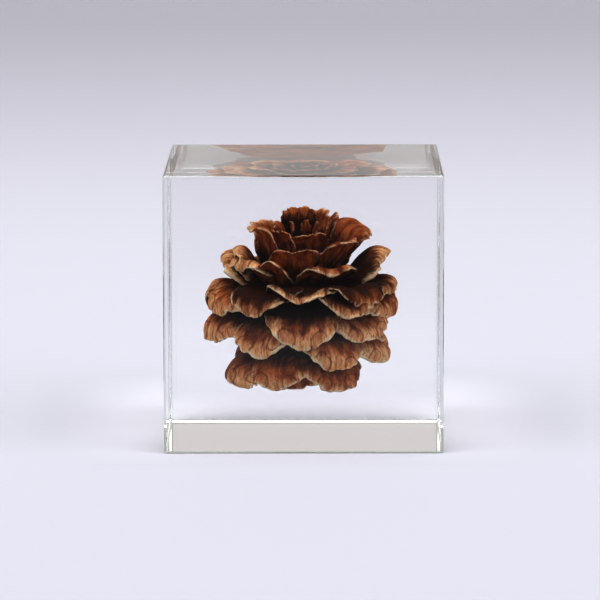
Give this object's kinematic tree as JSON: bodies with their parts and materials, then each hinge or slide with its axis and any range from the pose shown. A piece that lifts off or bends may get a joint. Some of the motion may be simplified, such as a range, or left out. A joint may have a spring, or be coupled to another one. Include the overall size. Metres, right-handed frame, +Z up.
{
  "type": "conifer cone in resin block",
  "caption": "Open rose-shaped conifer cone with thin recurved scales, sealed upright in a clear cast resin cube with softly rounded edges.",
  "frame": {"origin": "middle of the cube's base, on the surface that it stands on", "axes": "+Z up along the cone's axis; -Y is the side shown in the picture; +X to the right from there"},
  "size_m": [0.04, 0.04, 0.04],
  "materials": {
    "clear_resin": "polished, clear, colourless",
    "cone_scales": "dry, papery, dull brown with paler rims"
  },
  "bodies": {
    "root": {"resin_lower": "clear_resin", "resin_upper": "clear_resin", "cone": "cone_scales"}
  },
  "joints": []
}
